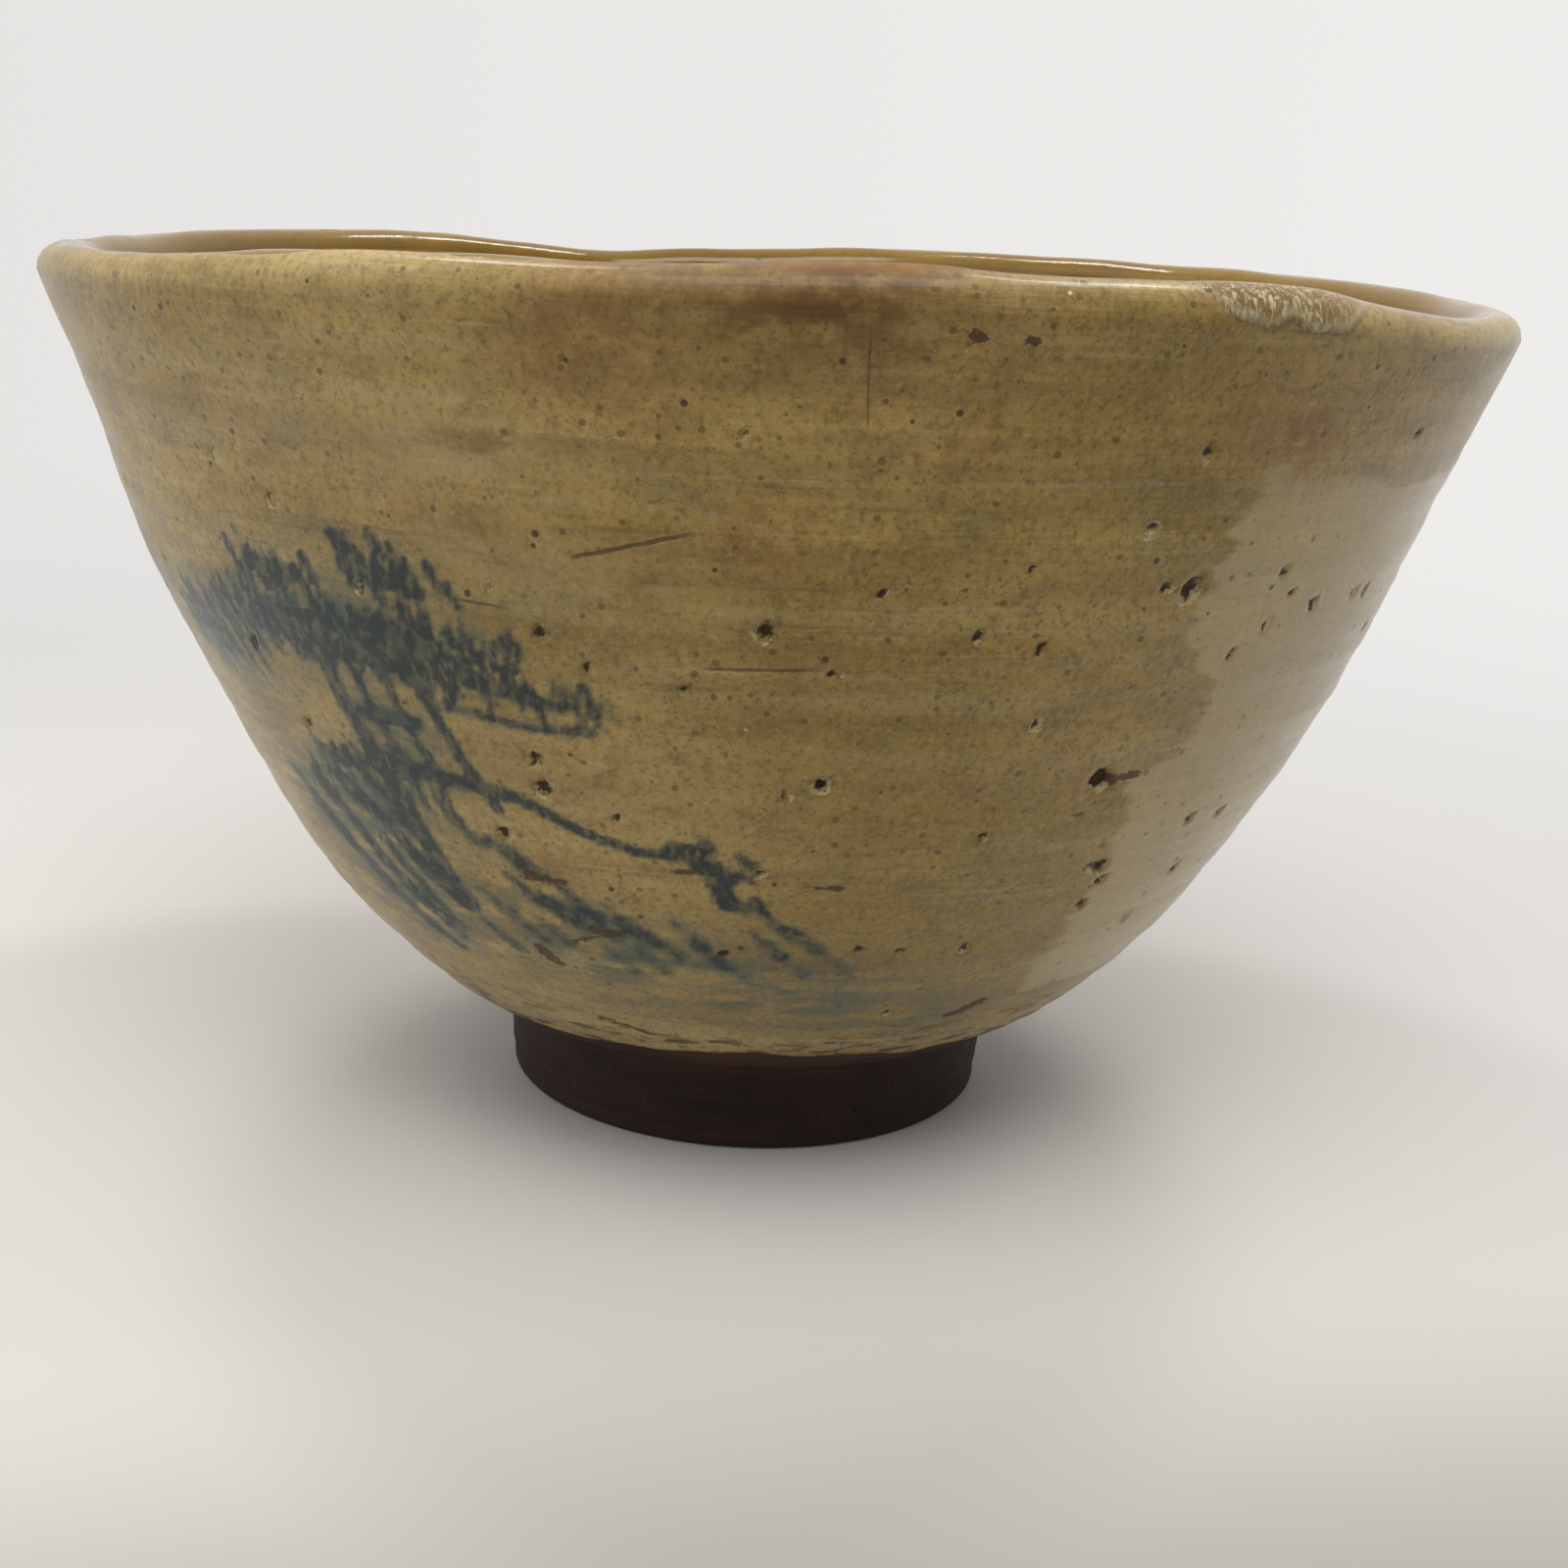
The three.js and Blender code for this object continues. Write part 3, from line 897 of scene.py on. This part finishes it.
# Azimuths over which each begins, and over which it ends.
RUN_SIDES = (24.5, 29), (37, 42)
CRUST_SIDES = (25.5, 29), (34, 41)


def between(begins, ends):
    """1 at the azimuths between two sides, 0 outside them."""
    return smoothstep(azimuths, *begins) * smoothstep(azimuths, *reversed(ends))


def run_share():
    """1 where the inside glaze ran over the lip in the firing, 0 elsewhere."""
    return between(*RUN_SIDES)


def lap_edge():
    """Where the inside coat ends, outside the lip: it wavers, and hangs lower where it ran."""
    scallops = np.cos(np.radians(azimuths) * 71) + 0.7 * np.cos(np.radians(azimuths) * 113 + 1)
    waver = 0.15 * np.cos(np.radians(azimuths) * 9 + 2) + 0.05 * scallops
    return clay_lip_start + lap_start + waver - run_share() * (run_drop + 0.25 * scallops)


def glaze_line():
    """Where the outside coat starts: it wavers, and stands highest near the front."""
    edge = wall.station_of_height(glaze_line_height) + 1.2 * np.exp(-(((azimuths - 3) / 16) ** 2))
    return edge + 0.6 * waves(azimuths, 0.0, 9, (10, 20)) + 0.25 * waves(azimuths, 0.0, 40, (10, 20))


def hidden_side(start, end, rows):
    """The back of a coat, just off the clay, from one station to another."""
    share = np.linspace(0, 1, rows)[:, None]
    return swept(clay, start + (end - start) * share, azimuths, coat_gap)


def wall_layers(canvas, bare, pit):
    """What the outside coat's material reads, by name."""
    return {
        "ink": paint_ink(canvas),
        "wash": canvas.blobs(WASHES),
        "blush": canvas.blobs(BLUSHES),
        "slip": canvas.blobs(THICK_SLIP),
        "run": canvas.blobs(RUNS),
        # At the front the pale area is a painted reflection of the floor.
        "pale": pale_area(canvas),
        "bare": bare,
        "pit": pit,
    }


def outer_glaze():
    """The outside coat, from its rolled edge above the foot to under the lip's own glaze."""
    rows, hidden_rows = 140, 8
    edge = glaze_line()
    top = clay_lip_start + 3.4
    near_edge = edge + np.array([0, 0.08, 0.22, 0.42, 0.7, 1.0])[:, None]
    share = np.linspace(0, 1, rows)[:, None]
    rolled = edge + coat_roll
    station = np.vstack([near_edge, rolled + (top - rolled) * share])
    from_edge = np.clip((station - edge) / coat_roll, 0, 1)
    under_lap = smoothstep(station, lap_edge() + 0.3, lap_edge() + 1.0)
    body = coat_thickness * np.sqrt(1 - (1 - from_edge) ** 2) * (1 - 0.8 * under_lap)

    canvas = Canvas(np.minimum(station, wall.length), azimuths)
    depth, pit = carve_pits(canvas, PITS + [small_pit() for _ in range(SMALL_PITS)])
    bare = canvas.layer()
    for line, width in SKIPS:
        canvas.stroke(bare, line, (width, width * 0.7), soft=0.6)
    rings = ring_relief(azimuths, station) * smoothstep(clay_lip_start - station, 0, 12)
    visible = swept(clay, station, azimuths, body + (rings + depth - 0.15 * bare) * from_edge)
    hidden = hidden_side(top, edge, hidden_rows)
    points, faces = closed_on_itself(np.vstack([visible, hidden]))
    piece = new_piece("outer_coat", points, faces, outer_glaze_material(), "outer_glaze")
    unseen = np.zeros(hidden.shape[:2])
    for name, values in wall_layers(canvas, bare, pit).items():
        store(piece, name, np.vstack([values, unseen]))


def inside_relief(station, from_edge):
    """Throwing rings that fade towards the lip and the middle, and the lumpiness of a thick glaze."""
    to_middle = clay.length - station
    rings = 0.16 * waves(0 * azimuths, station, 1, (5, 10)) + 0.12 * waves(azimuths, station, 4, (28, 70))
    rings *= smoothstep(station, clay_lip_end, clay_lip_end + 12) * smoothstep(to_middle, 0, 6)
    lumpy = 0.10 * waves(azimuths, station, 26, (6, 14), count=40)
    return rings + lumpy * from_edge * smoothstep(to_middle, 0, 30)


def lip_layers(station):
    """What the inside coat's material reads, by name."""
    worn = smoothstep(station, clay_lip_end + 3, clay_lip_end - 1)
    worn = worn * np.maximum(0.9 * np.exp(-(((azimuths - 5) / 15) ** 4)), 0.1)
    crust = between(*CRUST_SIDES) * smoothstep(station, clay_lip_start + 3.0, clay_lip_start + 1.9)
    seam = run_share() * np.exp(-(((station - lap_edge() - 0.25) / 0.22) ** 2))
    return {"worn": worn, "crust": crust, "seam": seam}


def inner_glaze():
    """The inside coat, over the lip and down to the middle of the floor."""
    lip_rows, wall_rows, hidden_rows = 38, 100, 10
    ramp = 2.0 - 1.3 * run_share()  # how far the coat takes to rise out of the one it laps over
    edge = lap_edge() - 0.8 * ramp
    turn = clay_lip_end + 1.0  # where the rows stop being close together
    floor_edge = clay.length - 0.4  # the rows from here on close on the axis
    over_lip = edge + (turn - edge) * np.linspace(0, 1, lip_rows, endpoint=False)[:, None]
    down = turn + (floor_edge - turn) * np.linspace(0, 1, wall_rows)[:, None] + 0 * azimuths
    station = np.vstack([over_lip, down])
    from_edge = smoothstep(station, edge, edge + ramp)
    thick = 0.10 * run_share() * smoothstep(clay_lip_end - station, 0, 3)
    body = coat_thickness - 0.2 + (0.22 + thick) * from_edge
    visible = swept(clay, station, azimuths, body + inside_relief(station, from_edge))
    hidden = hidden_side(floor_edge, edge + 0.2, hidden_rows)
    points, faces = closed_on_axis(np.vstack([hidden, visible]))
    piece = new_piece("inner_coat", points, faces, inner_glaze_material(), "inner_glaze")
    unseen = np.zeros(hidden.shape[:2])
    for name, values in lip_layers(station).items():
        rings = np.vstack([unseen, values])[1:-1]
        store(piece, name, np.concatenate([rings.ravel(), [0, 0]]))


def clay_body():
    """The bare clay: under the floor inside the foot, and the belly from the foot to the glaze."""
    crown = foot_height - recess_crown
    recess = [
        (0.0, crown - 0.5),
        (2.0, crown + 0.1),
        (9.0, foot_height - recess_crown * 0.85),
        (foot_bore_radius - 1.2, foot_height - 0.5),
        (foot_bore_radius, foot_height),
    ]
    profile = Path(np.vstack([spline(recess), clay.points]))
    seen_end = profile.length - clay.length + 10
    seen = np.linspace(0, seen_end, 100)[:, None]
    unseen = np.linspace(seen_end, profile.length, 50)[1:, None]
    station = np.vstack([seen, unseen]) + 0 * azimuths
    turned = 0.06 * waves(0 * azimuths, station, 1, (1.4, 3.0)) + 0.04 * waves(azimuths, station, 6, (3, 8))
    turned *= smoothstep(station, 0.5, 3) * smoothstep(seen_end - station, 0, 4)
    points, faces = closed_on_axis(swept(profile, station, azimuths, turned))
    material = bare_clay_material("bare_clay", warm_from=9.5, warm_to=12.5)
    new_piece("thrown_clay", points, faces, material, "clay_body")


def arc(centre, radius, start, end, steps=8):
    angle = np.radians(np.linspace(start, end, steps))
    return np.array(centre) + radius * np.stack([np.cos(angle), np.sin(angle)], axis=1)


def straight(start, end, shares):
    """Points on a straight line, at these shares of the way from start to end."""
    return np.array(start) + np.outer(shares, np.subtract(end, start))


def foot_ring():
    """The turned ring that the bowl stands on, with its edges rubbed round."""
    outer_edge, inner_edge, sunk = 0.7, 0.9, 0.25
    top = foot_height + sunk
    bore_low = foot_bore_radius + 0.7
    profile = np.vstack([
        arc((foot_radius - outer_edge, outer_edge), outer_edge, -90, 0),
        straight((foot_radius, outer_edge), (foot_top_radius, top), np.linspace(0.05, 1, 30)),
        [(foot_top_radius - 3, top), (foot_bore_radius + 2, top)],
        straight((foot_bore_radius, top), (bore_low, inner_edge), np.linspace(0, 0.95, 26)),
        arc((bore_low + inner_edge, inner_edge), inner_edge, 180, 270),
        straight((bore_low + inner_edge, 0), (foot_radius - outer_edge, 0), np.linspace(0.1, 0.9, 10)),
    ])
    path = Path(profile)
    station = path.stations[:, None] + 0 * azimuths
    standing = smoothstep(profile[:, 1], 0, 1.2)[:, None]
    scored = 0.05 * waves(0 * azimuths, station, 1, (1.2, 3.0))
    uneven = 0.07 * waves(azimuths, station, 7, (6, 14))
    relief = (scored + uneven - 0.04) * standing
    points, faces = closed_on_itself(swept(path, station, azimuths, relief))
    material = bare_clay_material("bare_foot", warm_from=6.0, warm_to=10.0)
    new_piece("turned_foot", points, faces, material, "foot_ring")


# ---------------- floor, light and camera


def stage():
    """A plain pale floor with painted shade, darker in front and towards the right, and whose edge fades
    into the pale surroundings.
    """
    bpy.ops.mesh.primitive_circle_add(vertices=96, radius=0.9, fill_type="NGON", location=(0, 0, -0.00005))
    floor = bpy.context.object
    floor.name = "floor"
    paint = Paint("paper")
    inputs = {0: paint.place, 1: (-35, -30, 0)}
    away = paint.add("ShaderNodeVectorMath", inputs, output="Value", operation="DISTANCE")
    # Painted shade: the floor's colour darkens towards the front and the right.
    back = paint.step(paint.dot(paint.place, (-0.25, 1, 0)), -115, -55)
    paint.set(Base_Color=paint.mix(back, tone("9b9690"), tone("d1cfcb")))
    paint.set(Alpha=paint.step(away, 50, 300, 1.0, 0.0), Roughness=0.6, Specular_IOR_Level=0.2)
    floor.data.materials.append(paint.material)


def surroundings():
    """Soft light from all round: brightest behind and to the right, and dimmer from in front and below."""
    world = bpy.data.worlds.new("studio")
    bpy.context.scene.world = world
    world.use_nodes = True
    nodes = Nodes(world.node_tree)
    direction = nodes.add("ShaderNodeTexCoord", output="Generated")
    x, y, z = (nodes.part(direction, axis) for axis in "XYZ")
    behind = nodes.step(nodes.total((x, -0.22), (y, 1.0)), -0.9, 0.3, 0.25, 1.0)
    right = nodes.step(x, -1.0, 1.0, 0.94, 1.12)
    below = nodes.step(z, -0.38, -0.12, 0.76, 1.0)
    background = world.node_tree.nodes["Background"]
    nodes.put(background.inputs["Color"], tone("e8e6e4"))
    nodes.put(background.inputs["Strength"], nodes.times(nodes.times(behind, right), below))


# Area lamps: name, place, what it faces, its two sizes, in metres, and its power in watts.
LAMPS = [
    ("front", (0.03, -0.32, 0.5), (0, -0.05, 0), (0.36, 0.3), 1.9),
    ("window", (-0.5, -0.32, 0.42), (0, 0, 0.06), (0.9, 0.6), 1.35),
    ("tube_left", (-0.32, 0.33, 0.98), (0, -0.06, 0.08), (0.16, 0.22), 2.0),
    ("tube_right", (0.36, 0.34, 0.96), (0, -0.06, 0.08), (0.15, 0.22), 2.0),
]


def lamp(name, place_at, aim, size, power):
    data = bpy.data.lights.new(name, "AREA")
    data.shape = "RECTANGLE"
    data.size, data.size_y = size
    data.energy = power
    light = bpy.data.objects.new(name, data)
    light.location = place_at
    light.rotation_euler = (Vector(aim) - Vector(place_at)).to_track_quat("-Z", "Y").to_euler()
    bpy.context.scene.collection.objects.link(light)


def camera():
    """Just above the lip's height, looking down at the bowl's front, and not quite level."""
    data = bpy.data.cameras.new("camera")
    data.sensor_width = 36
    data.lens = 49.9
    view = bpy.data.objects.new("camera", data)
    view.location = (0.0027, -0.2156, 0.0884)
    view.rotation_mode = "QUATERNION"
    downward, lean = 15.2, 3.04  # degrees
    level = Euler((math.radians(90 - downward), 0, 0)).to_quaternion()
    view.rotation_quaternion = level @ Quaternion((0, 0, 1), math.radians(lean))
    bpy.context.scene.collection.objects.link(view)
    bpy.context.scene.camera = view


clay_body()
foot_ring()
outer_glaze()
inner_glaze()
stage()
surroundings()
for row in LAMPS:
    lamp(*row)
camera()
bpy.context.scene.view_settings.view_transform = "Standard"
